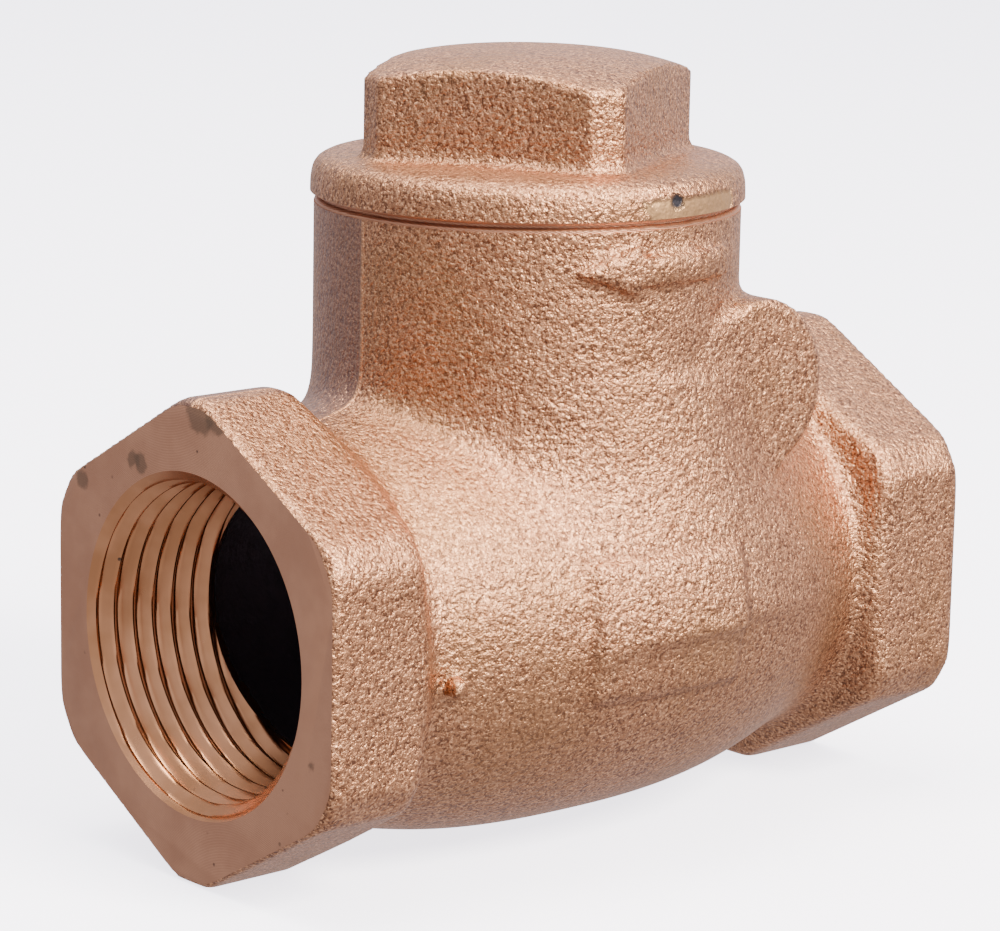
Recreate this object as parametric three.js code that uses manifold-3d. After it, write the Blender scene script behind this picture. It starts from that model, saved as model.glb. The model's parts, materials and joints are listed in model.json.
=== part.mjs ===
// Swing check valve, 3/4 inch, threaded ends, screw-in cap.
//
// Millimetres, +Z up. X is the flow axis: the inlet is at +X, the outlet at -X.
// The valve stands on the trimmed lower corners of its two hexagonal ends, at Z = 0.
// Shapes are drawn with the flow axis at Z = 0 and the whole group is lifted at the end.

import * as THREE from 'three';
import { mergeVertices } from 'three/addons/utils/BufferGeometryUtils.js';
import Module from 'manifold-3d';

const wasm = await Module();
wasm.setup();

// ---------------------------------------------------------------- dimensions

// Hexagonal ends.
const HALF_LENGTH = 33.4;
const HEX_ACROSS_FLATS = 34.4;
const HEX_CORNER_RADIUS = 19.1;
const FOOT_DEPTH = 18.8;
const HEX_FACE_RADIUS = 18.3;
const HEX_CHAMFER = 1.2;
const HEX_INNER_END = 24.0;

// Taper pipe thread in each end, 14 turns to the inch.
const PITCH = 1.814;
const PORT_TURNS = 7;
const PORT_MOUTH_RADIUS = 13.33;
const PORT_CREST_RADIUS = 12.3;
const PORT_THREAD_HEIGHT = 0.85;
const PORT_FIRST_CREST = 1.5;
const PORT_DEPTH = 13.2;
const PORT_TAPER = 1 / 32;

// Round body between the hexagons.
const BARREL_CENTRE = -1.5;
const BARREL_HALF_LENGTH = 27.8;
const BARREL_HALF_HEIGHT = 18.3;
const BARREL_HALF_WIDTH = 21.2;
const BARREL_POWER = 2.7;
const BARREL_WALL = 3.3;
const WAIST_RADIUS = 15.6;
const OUTLET_BORE_RADIUS = 11.7;

// Neck that takes the cap.
const NECK_RADIUS = 17.0;
const NECK_TOP = 31.65;
const NECK_BORE_RADIUS = 14.0;
const NECK_BORE_BOTTOM = 6.0;
const RIM_CHAMFER = 0.35;
const FLARE_RADIUS = 20.8;
const FLARE_BOTTOM = 14.8;
const FLARE_GROWTH = 2.2;
const FLARE_WIDE_TOP = 16.3;
const FLARE_TOP = 21.6;

// Skirt that carries the neck down into the side of the barrel.
const SKIRT_X = 2.0;
const SKIRT_TOP = 19.0;
const SKIRT_TOP_RADIUS = 17.1;
const SKIRT_BOTTOM = 4.0;
const SKIRT_BOTTOM_RADIUS = 20.1;

// Cast marks: a flow arrow on the neck and a blank raised pad on the barrel.
const ARROW_X = -1.2;
const ARROW_Z = 27.6;
const ARROW_LENGTH = 13.6;
const ARROW_HEAD_LENGTH = 4.2;
const ARROW_HEAD_HEIGHT = 3.0;
const ARROW_SHAFT_HEIGHT = 1.1;
const PAD_X = -2.2;
const PAD_Z = 0.9;
const PAD_LENGTH = 14.4;
const PAD_HEIGHT = 10.8;
const MARK_RAISE = 0.5;

// Cap.
const CAP_TURNS = 4;
const CAP_THREAD_HEIGHT = 0.7;
const CAP_SKIRT_BOTTOM = 23.2;
const CAP_HOLLOW_RADIUS = 11.0;
const CAP_HOLLOW_TOP = 34.0;
const FLANGE_RADIUS = 17.3;
const FLANGE_WALL_TOP = 33.3;
const FLANGE_TOP = 35.4;
const HEAD_ACROSS_FLATS = 21.4;
const HEAD_CORNER_CUT = 2.0;
const HEAD_TOP = 43.5;
const HEAD_TURN = THREE.MathUtils.degToRad(-61);

// Hinge.
const HINGE_X = 10.5;
const HINGE_Z = 17.6;
const BOSS_RADIUS = 7.0;
const BOSS_HALF_WIDTH = 16.4;
const PIN_RADIUS = 1.6;
const PIN_BLIND_END = -13.6;
const PIN_OPEN_END = 11.0;
const PLUG_STEM_RADIUS = 3.6;
const PLUG_HEAD_RADIUS = 5.2;
const PLUG_HEAD_HEIGHT = 2.2;
const POCKET_RADIUS = 4.4;
const POCKET_HALF_WIDTH = 7.4;

// Seat, measured in the hanger frame: pin at the origin, X upstream, Z up the hanger.
const SEAT_TILT = THREE.MathUtils.degToRad(15);
const SEAT_X = 7.1;
const SEAT_WALL_X = 8.3;
const SEAT_INNER_RADIUS = 9.5;
const SEAT_OUTER_RADIUS = 11.0;
const DISC_DROP = 16.35;

// Disc assembly, also in the hanger frame.
const SEAT_DISC_FRONT = 7.0;
const SEAT_DISC_BACK = 5.2;
const SEAT_DISC_RADIUS = 10.9;
const HOLDER_RADIUS = 11.8;
const HOLDER_RIM_FRONT = 6.3;
const HOLDER_BACK = 3.4;
const HUB_BACK = 2.1;
const HUB_RADIUS = 4.0;
const STUD_RADIUS = 2.1;
const STUD_END = -6.0;
const SPIGOT_RADIUS = 1.8;
const SPIGOT_FRONT = 10.8;
const EYE_FRONT = 1.8;
const EYE_BACK = -1.2;
const EYE_RADIUS = 4.6;
const KNUCKLE_RADIUS = 3.5;
const KNUCKLE_HALF_WIDTH = 6.8;
const ARM_HALF_WIDTH = 2.8;
const RIB_WIDTH = 1.8;
const RIB_THICKNESS = 2.0;
const RIB_RAISE = 1.6;
const WASHER_THICKNESS = 0.8;
const SEAT_WASHER_RADIUS = 5.0;
const HANGER_WASHER_RADIUS = 4.2;
const SEAT_NUT_ACROSS_FLATS = 6.4;
const HANGER_NUT_ACROSS_FLATS = 7.2;
const SEAT_NUT_HEIGHT = 2.4;
const HANGER_NUT_HEIGHT = 2.8;

// Clearances: between turning pieces, and between fixed pieces.
const RUNNING_GAP = 0.3;
const FIXED_GAP = 0.15;

const LARGE_ROUND = 40;
const MEDIUM_ROUND = 28;
const SMALL_ROUND = 16;

// Everything below is drawn about the flow axis, then raised so that the valve stands on Z = 0.
const FLOW_AXIS_HEIGHT = FOOT_DEPTH;

// ------------------------------------------------------------------- helpers

/** Three.js geometry to a manifold solid. */
function toSolid(geometry) {
  const bare = geometry.clone();
  bare.deleteAttribute('normal');
  bare.deleteAttribute('uv');
  const welded = mergeVertices(bare, 1e-4);
  const corners = welded.index.array;
  const position = welded.attributes.position;
  const triangles = [];
  let volume = 0;
  const a = new THREE.Vector3();
  const b = new THREE.Vector3();
  const c = new THREE.Vector3();
  for (let i = 0; i < corners.length; i += 3) {
    const [p, q, r] = corners.slice(i, i + 3);
    if (p === q || q === r || r === p) continue;
    triangles.push([p, q, r]);
    a.fromBufferAttribute(position, p);
    b.fromBufferAttribute(position, q);
    c.fromBufferAttribute(position, r);
    volume += a.dot(b.cross(c));
  }
  // A turned profile drawn downwards comes out inside out, so it is turned the right way here.
  const ordered = volume < 0 ? triangles.map(([p, q, r]) => [p, r, q]) : triangles;
  return new wasm.Manifold(new wasm.Mesh({
    numProp: 3,
    vertProperties: new Float32Array(position.array),
    triVerts: new Uint32Array(ordered.flat()),
  }));
}

/** Manifold solid back to three.js geometry. */
function toGeometry(solid) {
  const mesh = solid.getMesh();
  const geometry = new THREE.BufferGeometry();
  geometry.setAttribute('position', new THREE.BufferAttribute(mesh.vertProperties, 3));
  geometry.setIndex(new THREE.BufferAttribute(mesh.triVerts, 1));
  geometry.computeVertexNormals();
  return geometry;
}

function join(...geometries) {
  return toGeometry(geometries.map(toSolid).reduce((sum, next) => sum.add(next)));
}

function cut(base, ...tools) {
  return toGeometry(tools.map(toSolid).reduce((rest, tool) => rest.subtract(tool), toSolid(base)));
}

function overlap(first, second) {
  return toGeometry(toSolid(first).intersect(toSolid(second)));
}

/** Turned shape about the X axis; the profile is a list of [radius, x]. */
function turnedAboutX(profile, segments = LARGE_ROUND) {
  return turnedAboutY(profile, segments).rotateZ(-Math.PI / 2);
}

/** Turned shape about the Y axis; the profile is a list of [radius, y]. */
function turnedAboutY(profile, segments = LARGE_ROUND) {
  const points = profile.map(([radius, along]) => new THREE.Vector2(radius, along));
  return new THREE.LatheGeometry(points, segments);
}

/** Turned shape about the Z axis; the profile is a list of [radius, z]. */
function turnedAboutZ(profile, segments = LARGE_ROUND) {
  return turnedAboutY(profile, segments).rotateX(Math.PI / 2);
}

/** Profile of a plain cylinder between two positions on its axis. */
function rod(radius, from, to) {
  return [[0, from], [radius, from], [radius, to], [0, to]];
}

/** Profile of a ring, closed on itself. */
function ring(inner, outer, from, to) {
  return [[inner, from], [outer, from], [outer, to], [inner, to], [inner, from]];
}

/** Hexagonal bar along X, with a corner pointing up. */
function hexBar(acrossFlats, from, to) {
  const corner = acrossFlats / Math.sqrt(3);
  return new THREE.CylinderGeometry(corner, corner, to - from, 6)
    .rotateZ(-Math.PI / 2)
    .translate((from + to) / 2, 0, 0);
}

/** Crests and roots of a V thread, as [radius, depth] from the first crest onwards. */
function threadProfile(firstCrest, turns, crestRadius, rootRadius, taper = 0) {
  const points = [];
  for (let turn = 0; turn < turns; turn += 1) {
    const crestDepth = firstCrest + turn * PITCH;
    const rootDepth = crestDepth + PITCH / 2;
    points.push([crestRadius - crestDepth * taper, crestDepth]);
    points.push([rootRadius - rootDepth * taper, rootDepth]);
  }
  return points;
}

/** Moves a shape drawn in the hanger frame to its closed position in the valve. */
function placeHanger(geometry) {
  return geometry.rotateY(SEAT_TILT).translate(HINGE_X, 0, HINGE_Z);
}

/** Shape turned about the disc's own axis, in its closed position. */
function turnedAboutDisc(profile, segments) {
  return placeHanger(turnedAboutX(profile, segments).translate(0, 0, -DISC_DROP));
}

// --------------------------------------------------------------- valve body

/** Round body: a barrel with full ends, wider than it is tall. */
function barrel(growth = 0) {
  const steps = 14;
  const profile = [];
  for (let step = 0; step <= steps; step += 1) {
    const along = -Math.cos((Math.PI * step) / steps);
    const radius = (1 - Math.abs(along) ** BARREL_POWER) ** (1 / BARREL_POWER);
    profile.push([radius, along]);
  }
  profile[0][0] = 0;
  profile[steps][0] = 0;
  return turnedAboutX(profile)
    .scale(BARREL_HALF_LENGTH + growth, BARREL_HALF_WIDTH + growth, BARREL_HALF_HEIGHT + growth)
    .translate(BARREL_CENTRE, 0, 0);
}

/** One hexagonal end on the +X side: chamfered at the face, rounded behind, flat where it stands. */
function hexEnd() {
  const rounding = turnedAboutX([
    [0, HEX_INNER_END - 4],
    [WAIST_RADIUS, HEX_INNER_END - 4],
    [WAIST_RADIUS, HEX_INNER_END - 0.6],
    [WAIST_RADIUS + 0.6, HEX_INNER_END - 0.1],
    [WAIST_RADIUS + 1.8, HEX_INNER_END + 0.5],
    [WAIST_RADIUS + 2.8, HEX_INNER_END + 1.3],
    [HEX_CORNER_RADIUS, HEX_INNER_END + 2.4],
    [HEX_CORNER_RADIUS, HALF_LENGTH - HEX_CHAMFER],
    [HEX_FACE_RADIUS, HALF_LENGTH],
    [0, HALF_LENGTH],
  ]);
  const blank = hexBar(HEX_ACROSS_FLATS, HEX_INNER_END - 4, HALF_LENGTH);
  const below = new THREE.BoxGeometry(4 * HALF_LENGTH, 4 * HALF_LENGTH, 10)
    .translate(0, 0, -FOOT_DEPTH - 5);
  return cut(overlap(blank, rounding), below);
}

/** Hollow of one threaded port on the +X side. */
function portHollow() {
  const rootRadius = PORT_CREST_RADIUS + PORT_THREAD_HEIGHT;
  const thread = threadProfile(
    PORT_FIRST_CREST, PORT_TURNS, PORT_CREST_RADIUS, rootRadius, PORT_TAPER,
  );
  const profile = [[0, -1], [PORT_MOUTH_RADIUS + 1, -1], ...thread];
  profile.push([PORT_CREST_RADIUS - PORT_DEPTH * PORT_TAPER, PORT_DEPTH], [0, PORT_DEPTH]);
  return turnedAboutX(profile.map(([radius, depth]) => [radius, HALF_LENGTH - depth]));
}

/** Collar that eases the neck into the top of the barrel at its two ends. */
function neckFlare() {
  const collar = turnedAboutZ([
    [0, FLARE_BOTTOM],
    [FLARE_RADIUS, FLARE_BOTTOM],
    [FLARE_RADIUS, FLARE_WIDE_TOP],
    [NECK_RADIUS + 1.6, FLARE_WIDE_TOP + 1.9],
    [NECK_RADIUS + 0.1, FLARE_TOP],
    [0, FLARE_TOP],
  ]);
  return overlap(collar, barrel(FLARE_GROWTH));
}

function neck() {
  return turnedAboutZ([
    [0, 0],
    [NECK_RADIUS, 0],
    [NECK_RADIUS, NECK_TOP - RIM_CHAMFER],
    [NECK_RADIUS - RIM_CHAMFER, NECK_TOP],
    [0, NECK_TOP],
  ]);
}

/** Cone from the neck down to the widest part of the barrel. */
function skirt() {
  return turnedAboutZ([
    [0, SKIRT_BOTTOM],
    [SKIRT_BOTTOM_RADIUS, SKIRT_BOTTOM],
    [SKIRT_TOP_RADIUS, SKIRT_TOP],
    [0, SKIRT_TOP],
  ]).translate(SKIRT_X, 0, 0);
}

/** Raised arrow on the neck, pointing from inlet to outlet. */
function flowArrow() {
  const halfLength = ARROW_LENGTH / 2;
  const headHalfHeight = ARROW_HEAD_HEIGHT / 2;
  const shaftHalfHeight = ARROW_SHAFT_HEIGHT / 2;
  const barb = ARROW_HEAD_LENGTH - halfLength;
  const outline = new THREE.Shape([
    new THREE.Vector2(-halfLength, 0),
    new THREE.Vector2(barb, -headHalfHeight),
    new THREE.Vector2(barb, -shaftHalfHeight),
    new THREE.Vector2(halfLength, -shaftHalfHeight),
    new THREE.Vector2(halfLength, shaftHalfHeight),
    new THREE.Vector2(barb, shaftHalfHeight),
    new THREE.Vector2(barb, headHalfHeight),
  ]);
  const bar = new THREE.ExtrudeGeometry(outline, { depth: NECK_RADIUS, bevelEnabled: false })
    .rotateX(Math.PI / 2)
    .translate(ARROW_X, -NECK_RADIUS / 2, ARROW_Z);
  const skin = turnedAboutZ(rod(
    NECK_RADIUS + MARK_RAISE,
    ARROW_Z - ARROW_HEAD_HEIGHT,
    ARROW_Z + ARROW_HEAD_HEIGHT,
  ));
  return overlap(bar, skin);
}

/** Blank raised pad on the near side of the barrel. */
function blankPad() {
  const depth = BARREL_HALF_WIDTH / 2;
  const block = new THREE.BoxGeometry(PAD_LENGTH, depth, PAD_HEIGHT)
    .translate(PAD_X, depth / 4 - BARREL_HALF_WIDTH, PAD_Z);
  return overlap(block, barrel(MARK_RAISE));
}

/** Hollow inside the barrel, stopped at the wall that carries the seat. */
function chamber() {
  const upstream = new THREE.BoxGeometry(40, 80, 80).translate(SEAT_WALL_X + 20, 0, -20);
  return cut(barrel(-BARREL_WALL), placeHanger(upstream));
}

/** Hollow of the neck, with the thread for the cap. */
function neckHollow() {
  const rootRadius = NECK_BORE_RADIUS + CAP_THREAD_HEIGHT;
  const thread = threadProfile(PITCH / 2, CAP_TURNS, NECK_BORE_RADIUS, rootRadius);
  const profile = thread.map(([radius, depth]) => [radius, NECK_TOP - depth]);
  return turnedAboutZ([
    [0, NECK_TOP + 1],
    [rootRadius, NECK_TOP + 1],
    [rootRadius, NECK_TOP],
    ...profile,
    [NECK_BORE_RADIUS, CAP_SKIRT_BOTTOM - 1],
    [NECK_BORE_RADIUS, NECK_BORE_BOTTOM],
    [0, NECK_BORE_BOTTOM],
  ]);
}

function valveBody() {
  const boss = turnedAboutY(rod(BOSS_RADIUS, -BOSS_HALF_WIDTH, BOSS_HALF_WIDTH), MEDIUM_ROUND)
    .translate(HINGE_X, 0, HINGE_Z);
  const waist = turnedAboutX(rod(WAIST_RADIUS, -HEX_INNER_END - 1, HEX_INNER_END + 1));
  const casting = join(
    barrel(),
    waist,
    hexEnd(),
    hexEnd().rotateZ(Math.PI),
    neck(),
    neckFlare(),
    skirt(),
    boss,
    flowArrow(),
    blankPad(),
  );

  const throatEnd = HALF_LENGTH - PORT_DEPTH + 1;
  const throat = join(
    turnedAboutDisc(rod(SEAT_INNER_RADIUS, SEAT_X - 1, SEAT_WALL_X + 3), LARGE_ROUND),
    turnedAboutX(rod(SEAT_INNER_RADIUS, HINGE_X + 3, throatEnd)),
  );
  const pocket = turnedAboutY(rod(POCKET_RADIUS, -POCKET_HALF_WIDTH, POCKET_HALF_WIDTH), SMALL_ROUND);
  const pinBore = turnedAboutY(rod(PIN_RADIUS + FIXED_GAP, PIN_BLIND_END, PIN_OPEN_END), SMALL_ROUND);
  const plugBore = turnedAboutY(
    rod(PLUG_STEM_RADIUS + FIXED_GAP, PIN_OPEN_END - RUNNING_GAP, BOSS_HALF_WIDTH + 1),
    SMALL_ROUND,
  );
  const spotFace = turnedAboutY(
    rod(PLUG_HEAD_RADIUS + RUNNING_GAP, BOSS_HALF_WIDTH, BARREL_HALF_WIDTH),
    MEDIUM_ROUND,
  );
  const hinge = join(pocket, pinBore, plugBore, spotFace).translate(HINGE_X, 0, HINGE_Z);
  const outletBore = turnedAboutX(rod(OUTLET_BORE_RADIUS, -HALF_LENGTH + 1, -10));
  const hollowed = cut(
    casting,
    chamber(),
    neckHollow(),
    portHollow(),
    portHollow().rotateZ(Math.PI),
    outletBore,
    hinge,
  );

  const seat = turnedAboutDisc(rod(SEAT_OUTER_RADIUS, SEAT_X, SEAT_WALL_X + 1), LARGE_ROUND);
  return cut(join(hollowed, seat), throat);
}

// ----------------------------------------------------------------------- cap

/** Square head with cut corners, drawn about Z and turned to where it was tightened. */
function capHead() {
  const half = HEAD_ACROSS_FLATS / 2;
  const short = half - HEAD_CORNER_CUT;
  const corners = [];
  for (let quarter = 0; quarter < 4; quarter += 1) {
    const turn = (quarter * Math.PI) / 2;
    corners.push(new THREE.Vector2(half, -short).rotateAround(new THREE.Vector2(), turn));
    corners.push(new THREE.Vector2(half, short).rotateAround(new THREE.Vector2(), turn));
  }
  const height = HEAD_TOP - FLANGE_WALL_TOP;
  const block = new THREE.ExtrudeGeometry(new THREE.Shape(corners), {
    depth: height,
    bevelEnabled: false,
  })
    .rotateZ(HEAD_TURN)
    .translate(0, 0, FLANGE_WALL_TOP);
  const dome = turnedAboutZ([
    [0, FLANGE_WALL_TOP],
    [20, FLANGE_WALL_TOP],
    [20, HEAD_TOP - 5.2],
    [14.6, HEAD_TOP - 2.3],
    [12.2, HEAD_TOP - 1.2],
    [9.8, HEAD_TOP - 0.5],
    [6.4, HEAD_TOP - 0.15],
    [0, HEAD_TOP],
  ]);
  return overlap(block, dome);
}

function cap() {
  const crestRadius = NECK_BORE_RADIUS - RUNNING_GAP;
  const rootRadius = crestRadius - CAP_THREAD_HEIGHT;
  const thread = threadProfile(PITCH, CAP_TURNS, crestRadius, rootRadius);
  const profile = thread.map(([radius, depth]) => [radius, NECK_TOP - depth]).reverse();
  const flange = turnedAboutZ([
    [0, CAP_SKIRT_BOTTOM],
    [rootRadius, CAP_SKIRT_BOTTOM],
    ...profile,
    [rootRadius, NECK_TOP],
    [FLANGE_RADIUS - RIM_CHAMFER - 0.3, NECK_TOP],
    [FLANGE_RADIUS, NECK_TOP + RIM_CHAMFER],
    [FLANGE_RADIUS, FLANGE_WALL_TOP],
    [FLANGE_RADIUS - 0.5, FLANGE_WALL_TOP + 1],
    [FLANGE_RADIUS - 1.6, FLANGE_TOP - 0.35],
    [FLANGE_RADIUS - 3.2, FLANGE_TOP],
    [0, FLANGE_TOP + 0.4],
  ]);
  const hollow = turnedAboutZ([
    [0, CAP_SKIRT_BOTTOM - 1],
    [CAP_HOLLOW_RADIUS, CAP_SKIRT_BOTTOM - 1],
    [CAP_HOLLOW_RADIUS, CAP_HOLLOW_TOP - 2],
    [CAP_HOLLOW_RADIUS - 2, CAP_HOLLOW_TOP],
    [0, CAP_HOLLOW_TOP],
  ], MEDIUM_ROUND);
  return cut(join(flange, capHead()), hollow);
}

// --------------------------------------------------------------------- hinge

function hingePin() {
  const chamfer = 0.3;
  return turnedAboutY([
    [0, PIN_BLIND_END],
    [PIN_RADIUS - chamfer, PIN_BLIND_END],
    [PIN_RADIUS, PIN_BLIND_END + chamfer],
    [PIN_RADIUS, PIN_OPEN_END - chamfer],
    [PIN_RADIUS - chamfer, PIN_OPEN_END],
    [0, PIN_OPEN_END],
  ], SMALL_ROUND).translate(HINGE_X, 0, HINGE_Z);
}

/** Screw plug that closes the far end of the pin bore; a slot takes the screwdriver. */
function hingePinPlug() {
  const headTop = BOSS_HALF_WIDTH + PLUG_HEAD_HEIGHT;
  const slotWidth = 1.3;
  const slotDepth = 1.2;
  const turned = turnedAboutY([
    [0, PIN_OPEN_END],
    [PLUG_STEM_RADIUS - 0.5, PIN_OPEN_END],
    [PLUG_STEM_RADIUS, PIN_OPEN_END + 0.5],
    [PLUG_STEM_RADIUS, BOSS_HALF_WIDTH],
    [PLUG_HEAD_RADIUS, BOSS_HALF_WIDTH],
    [PLUG_HEAD_RADIUS, headTop - 0.5],
    [PLUG_HEAD_RADIUS - 0.5, headTop],
    [0, headTop],
  ], SMALL_ROUND);
  const slot = new THREE.BoxGeometry(3 * PLUG_HEAD_RADIUS, 2 * slotDepth, slotWidth)
    .rotateY(0.6)
    .translate(0, headTop, 0);
  return cut(turned, slot).translate(HINGE_X, 0, HINGE_Z);
}

/** Arm that hangs from the pin and carries the disc. */
function discHanger() {
  const knuckle = turnedAboutY(rod(KNUCKLE_RADIUS, -KNUCKLE_HALF_WIDTH, KNUCKLE_HALF_WIDTH), SMALL_ROUND);
  const eye = turnedAboutX(rod(EYE_RADIUS, EYE_BACK, EYE_FRONT), SMALL_ROUND)
    .translate(0, 0, -DISC_DROP);
  const thickness = EYE_FRONT - EYE_BACK;
  const arm = new THREE.BoxGeometry(thickness, 2 * ARM_HALF_WIDTH, DISC_DROP)
    .translate((EYE_FRONT + EYE_BACK) / 2, 0, -DISC_DROP / 2);
  const ribLength = DISC_DROP - EYE_RADIUS - 1.5;
  const rib = new THREE.BoxGeometry(RIB_THICKNESS, RIB_WIDTH, ribLength)
    .translate(EYE_BACK - RIB_RAISE + RIB_THICKNESS / 2, 0, -ribLength / 2);
  const pinBore = turnedAboutY(rod(PIN_RADIUS + RUNNING_GAP, -20, 20), SMALL_ROUND);
  const studBore = turnedAboutX(rod(STUD_RADIUS + RUNNING_GAP, -10, 10), SMALL_ROUND)
    .translate(0, 0, -DISC_DROP);
  return placeHanger(cut(join(knuckle, eye, arm, rib), pinBore, studBore));
}

// ---------------------------------------------------------------------- disc

/** Brass holder: a cup for the seat disc in front, a stud through the hanger behind. */
function discHolder() {
  return turnedAboutDisc([
    [0, STUD_END],
    [STUD_RADIUS - 0.3, STUD_END],
    [STUD_RADIUS, STUD_END + 0.3],
    [STUD_RADIUS, HUB_BACK],
    [HUB_RADIUS, HUB_BACK],
    [HUB_RADIUS + 0.6, HOLDER_BACK],
    [HOLDER_RADIUS - 0.5, HOLDER_BACK],
    [HOLDER_RADIUS, HOLDER_BACK + 0.5],
    [HOLDER_RADIUS, HOLDER_RIM_FRONT],
    [SEAT_DISC_RADIUS + FIXED_GAP, HOLDER_RIM_FRONT],
    [SEAT_DISC_RADIUS + FIXED_GAP, SEAT_DISC_BACK],
    [SPIGOT_RADIUS, SEAT_DISC_BACK],
    [SPIGOT_RADIUS, SPIGOT_FRONT],
    [0, SPIGOT_FRONT],
  ], MEDIUM_ROUND);
}

function seatDisc() {
  const bore = SPIGOT_RADIUS + FIXED_GAP;
  return turnedAboutDisc(ring(bore, SEAT_DISC_RADIUS, SEAT_DISC_BACK, SEAT_DISC_FRONT), MEDIUM_ROUND);
}

function seatDiscWasher() {
  const bore = SPIGOT_RADIUS + FIXED_GAP;
  const front = SEAT_DISC_FRONT + WASHER_THICKNESS;
  return turnedAboutDisc(ring(bore, SEAT_WASHER_RADIUS, SEAT_DISC_FRONT, front), MEDIUM_ROUND);
}

function hangerWasher() {
  const bore = STUD_RADIUS + FIXED_GAP;
  const front = EYE_BACK - RUNNING_GAP;
  return turnedAboutDisc(
    ring(bore, HANGER_WASHER_RADIUS, front - WASHER_THICKNESS, front), MEDIUM_ROUND,
  );
}

/** Hexagon nut on the disc axis. */
function nut(acrossFlats, boreRadius, from, to) {
  const blank = hexBar(acrossFlats, from, to);
  const bore = turnedAboutX(rod(boreRadius, from - 1, to + 1), MEDIUM_ROUND);
  return placeHanger(cut(blank, bore).translate(0, 0, -DISC_DROP));
}

function seatDiscNut() {
  const back = SEAT_DISC_FRONT + WASHER_THICKNESS;
  return nut(SEAT_NUT_ACROSS_FLATS, SPIGOT_RADIUS + FIXED_GAP, back, back + SEAT_NUT_HEIGHT);
}

function hangerNut() {
  const front = EYE_BACK - RUNNING_GAP - WASHER_THICKNESS;
  return nut(HANGER_NUT_ACROSS_FLATS, STUD_RADIUS + FIXED_GAP, front - HANGER_NUT_HEIGHT, front);
}

// ----------------------------------------------------------------- materials

function metal(colour, roughness) {
  return new THREE.MeshStandardMaterial({ color: colour, roughness, metalness: 1 });
}

const castBronze = () => metal(0xb98a6c, 0.55);
const turnedBrass = () => metal(0xc9a26a, 0.35);
const steel = () => metal(0xa8abb0, 0.3);
const ptfe = () => new THREE.MeshStandardMaterial({ color: 0xe9e7e0, roughness: 0.6, metalness: 0 });

// ------------------------------------------------------------------ assembly

const pieces = [
  ['valve_body', valveBody, castBronze],
  ['cap', cap, castBronze],
  ['hinge_pin', hingePin, steel],
  ['hinge_pin_plug', hingePinPlug, turnedBrass],
  ['disc_hanger', discHanger, castBronze],
  ['disc_holder', discHolder, turnedBrass],
  ['seat_disc', seatDisc, ptfe],
  ['seat_disc_washer', seatDiscWasher, turnedBrass],
  ['seat_disc_nut', seatDiscNut, turnedBrass],
  ['hanger_washer', hangerWasher, turnedBrass],
  ['hanger_nut', hangerNut, turnedBrass],
];

const valve = new THREE.Group();
valve.name = 'check_valve';
for (const [name, shape, material] of pieces) {
  const mesh = new THREE.Mesh(shape(), material());
  mesh.name = name;
  valve.add(mesh);
}
valve.position.z = FLOW_AXIS_HEIGHT;

export default valve;
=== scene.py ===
# %% [markdown]
# # A bronze swing check valve, 3/4 inch
#
# The valve is a sand casting with a few machined faces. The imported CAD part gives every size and
# every moving body; this script gives the looks. The casting is grown from a distance field, which
# gives the soft fillets of a sand mould, and the machined faces are then cut into it with crisp
# tools, in the same order as a foundry and a lathe would do it.

import itertools
import json
import math

import bmesh
import bpy
import numpy as np
from mathutils import Matrix, Vector

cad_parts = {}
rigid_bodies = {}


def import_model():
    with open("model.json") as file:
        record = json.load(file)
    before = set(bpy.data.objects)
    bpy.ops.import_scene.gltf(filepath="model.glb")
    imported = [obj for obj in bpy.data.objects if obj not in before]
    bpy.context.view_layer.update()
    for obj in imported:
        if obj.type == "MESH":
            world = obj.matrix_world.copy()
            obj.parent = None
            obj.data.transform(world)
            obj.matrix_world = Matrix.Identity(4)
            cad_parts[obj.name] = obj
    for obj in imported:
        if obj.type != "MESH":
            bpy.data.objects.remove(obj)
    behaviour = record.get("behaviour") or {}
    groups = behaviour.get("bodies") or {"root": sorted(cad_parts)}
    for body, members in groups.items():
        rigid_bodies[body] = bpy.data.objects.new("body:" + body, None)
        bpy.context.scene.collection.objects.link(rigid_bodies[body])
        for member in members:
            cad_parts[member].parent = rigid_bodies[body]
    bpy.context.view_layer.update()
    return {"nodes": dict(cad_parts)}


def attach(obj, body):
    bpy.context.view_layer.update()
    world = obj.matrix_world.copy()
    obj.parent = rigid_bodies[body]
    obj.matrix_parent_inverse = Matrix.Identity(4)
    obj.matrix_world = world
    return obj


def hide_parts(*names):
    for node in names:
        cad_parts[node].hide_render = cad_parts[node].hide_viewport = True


for leftover in list(bpy.data.objects):
    bpy.data.objects.remove(leftover)
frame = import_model()
MM = 0.001

# %% [markdown]
# ## Sizes
#
# All in millimetres, the same as in the CAD part. Shapes are drawn about the flow axis, which lies
# along X at the height of the trimmed hexagon corner, and are lifted to the row frame at the end.

# %% Sizes shared by several pieces
HALF_LENGTH = 33.4
FLOW_HEIGHT = 18.8
HEX_HALF = 17.2
HEX_CORNER = 19.1
NECK_RADIUS = 17.0
NECK_TOP = 31.65
NECK_BORE = 14.0
HINGE_X, HINGE_Z = 10.5, 17.6
BOSS_RADIUS, BOSS_HALF = 7.0, 16.4
PITCH = 1.814
SEAT_TILT = math.radians(15)
DISC_DROP = 16.35
FLANGE_RADIUS = 17.3
HEAD_TOP = 43.5
HEAD_HALF, HEAD_CUT = 10.7, 2.0
HEAD_TURN = math.radians(-61)
# The machined rim of the neck and the edge of the cap's flange stand on either side of the joint.
RIM_FROM = NECK_TOP - 0.4
FLANGE_EDGE = NECK_TOP + 0.2


# %% [markdown]
# ## Writing node trees as sums
#
# Field and shader maths is easier to read as Python expressions than as a list of nodes. `Val`
# wraps one output socket; arithmetic on it adds a Math node and wraps the result. `node` adds any
# other node.

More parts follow.
